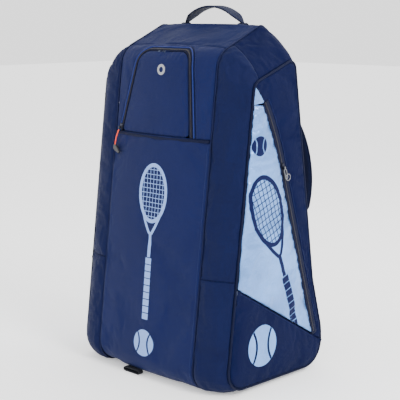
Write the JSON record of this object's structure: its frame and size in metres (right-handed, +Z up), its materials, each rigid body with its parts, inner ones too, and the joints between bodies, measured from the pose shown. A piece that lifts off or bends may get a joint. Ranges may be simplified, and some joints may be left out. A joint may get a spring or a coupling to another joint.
{
  "type": "racket tournament bag",
  "caption": "Tall soft racket bag that tapers to the top, with a zipped front flap, zipped side doors, a webbing top handle and padded shoulder straps.",
  "frame": {"origin": "on the floor, in the left-right middle of the base and near its front-to-back middle", "axes": "+X to the bag's right as seen from the front, +Y to its back where the shoulder straps are, +Z up"},
  "size_m": [0.4798, 0.4172, 0.822],
  "materials": {
    "front_fabric": "matte woven polyester",
    "top_fabric": "matte woven polyester",
    "gusset_fabric": "matte woven polyester",
    "side_fabric": "matte woven polyester",
    "door_satin": "satin coated polyester",
    "webbing": "ribbed webbing",
    "loop_webbing": "ribbed webbing",
    "strap_padding": "padded mesh",
    "piping": "corded piping",
    "zip_tape": "coated zip tape",
    "bright_metal": "plated",
    "dark_metal": "painted",
    "orange_cord": "woven cord",
    "black_plastic": "matte",
    "board": "matte",
    "lining": "plain lining"
  },
  "bodies": {
    "bag": {"back_panel": "top_fabric", "base_board": "board", "base_grab_loop": "loop_webbing", "base_panel": "gusset_fabric", "front_panel": "front_fabric", "front_piping": "piping", "front_zip_tape": "zip_tape", "gusset_bases": "gusset_fabric", "handle_anchors": "webbing", "left_divider": "lining", "left_gusset_back": "gusset_fabric", "left_gusset_lower": "gusset_fabric", "left_gusset_upper": "gusset_fabric", "left_lower_side_panel": "side_fabric", "left_rear_side_panel": "side_fabric", "left_shoulder": "gusset_fabric", "left_zip_tape": "zip_tape", "right_divider": "lining", "right_gusset_back": "gusset_fabric", "right_gusset_lower": "gusset_fabric", "right_gusset_upper": "gusset_fabric", "right_lower_side_panel": "side_fabric", "right_rear_side_panel": "side_fabric", "right_shoulder": "gusset_fabric", "right_zip_tape": "zip_tape", "side_piping": "piping", "strap_foot_anchors": "webbing", "strap_top_anchors": "webbing", "top_panel": "top_fabric", "upper_front_panel": "front_fabric"},
    "front_flap": {"front_flap": "front_fabric", "vent_eyelet": "bright_metal", "eyelet_washer": "bright_metal"},
    "front_slider": {"front_slider": "dark_metal"},
    "front_pull": {"front_pull_eye": "dark_metal", "front_pull_cord": "orange_cord", "front_pull_grip": "black_plastic"},
    "top_handle": {"top_handle": "webbing"},
    "right_door": {"right_door": "door_satin", "right_door_tab": "webbing", "right_door_tab_bar": "bright_metal"},
    "right_side_slider": {"right_side_slider": "dark_metal"},
    "right_side_pull": {"right_side_pull_link": "bright_metal", "right_side_pull_ring": "bright_metal"},
    "right_strap": {"right_strap_pad": "strap_padding", "right_strap_top_web": "webbing", "right_strap_lower_web": "webbing", "right_strap_buckle": "black_plastic", "right_strap_ring": "bright_metal"},
    "left_door": {"left_door": "door_satin", "left_door_tab": "webbing", "left_door_tab_bar": "bright_metal"},
    "left_side_slider": {"left_side_slider": "dark_metal"},
    "left_side_pull": {"left_side_pull_link": "bright_metal", "left_side_pull_ring": "bright_metal"},
    "left_strap": {"left_strap_pad": "strap_padding", "left_strap_top_web": "webbing", "left_strap_lower_web": "webbing", "left_strap_buckle": "black_plastic", "left_strap_ring": "bright_metal"}
  },
  "joints": [
    {"name": "flap_hinge", "type": "hinge", "parent": "bag", "child": "front_flap", "pos_m": [0, -0.13615, 0.5434], "axis": [1, 0, 0], "range_deg": [0, 150]},
    {"name": "front_slider_travel", "type": "slide", "parent": "bag", "child": "front_slider", "axis": [0.2762, 0.0624, 0.9591], "range_m": [0, 0.14]},
    {"name": "front_pull_swing", "type": "hinge", "parent": "front_slider", "child": "front_pull", "pos_m": [-0.12867, -0.13002, 0.55126], "axis": [-0.9466, 0.1902, 0.2602], "range_deg": [0, 110]},
    {"name": "handle_flop", "type": "hinge", "parent": "bag", "child": "top_handle", "pos_m": [0, 0.046, 0.7845], "axis": [1, 0, 0], "range_deg": [-50, 50], "stiffness_Nm_per_rad": 0.08},
    {"name": "right_door_hinge", "type": "hinge", "parent": "bag", "child": "right_door", "pos_m": [0.2333, -0.126, 0.234], "axis": [0, -0.1248, -0.9922], "range_deg": [0, 70]},
    {"name": "right_slider_travel", "type": "slide", "parent": "bag", "child": "right_side_slider", "axis": [0, 0.2916, -0.9565], "range_m": [0, 0.385]},
    {"name": "right_pull_swing", "type": "hinge", "parent": "right_side_slider", "child": "right_side_pull", "pos_m": [0.2379, 0.01448, 0.47987], "axis": [0, -0.9565, -0.2916], "range_deg": [0, 120]},
    {"name": "right_strap_swing", "type": "hinge", "parent": "bag", "child": "right_strap", "pos_m": [0.075, 0.084, 0.65], "axis": [0.1867, 0.1512, -0.9707], "range_deg": [-30, 30], "stiffness_Nm_per_rad": 0.6},
    {"name": "left_door_hinge", "type": "hinge", "parent": "bag", "child": "left_door", "pos_m": [-0.2333, -0.126, 0.234], "axis": [0, 0.1248, 0.9922], "range_deg": [0, 70]},
    {"name": "left_slider_travel", "type": "slide", "parent": "bag", "child": "left_side_slider", "axis": [0, 0.2916, -0.9565], "range_m": [0, 0.385]},
    {"name": "left_pull_swing", "type": "hinge", "parent": "left_side_slider", "child": "left_side_pull", "pos_m": [-0.2379, 0.01448, 0.47987], "axis": [0, 0.9565, 0.2916], "range_deg": [0, 120]},
    {"name": "left_strap_swing", "type": "hinge", "parent": "bag", "child": "left_strap", "pos_m": [-0.075, 0.084, 0.65], "axis": [-0.1867, 0.1512, -0.9707], "range_deg": [-30, 30], "stiffness_Nm_per_rad": 0.6}
  ]
}
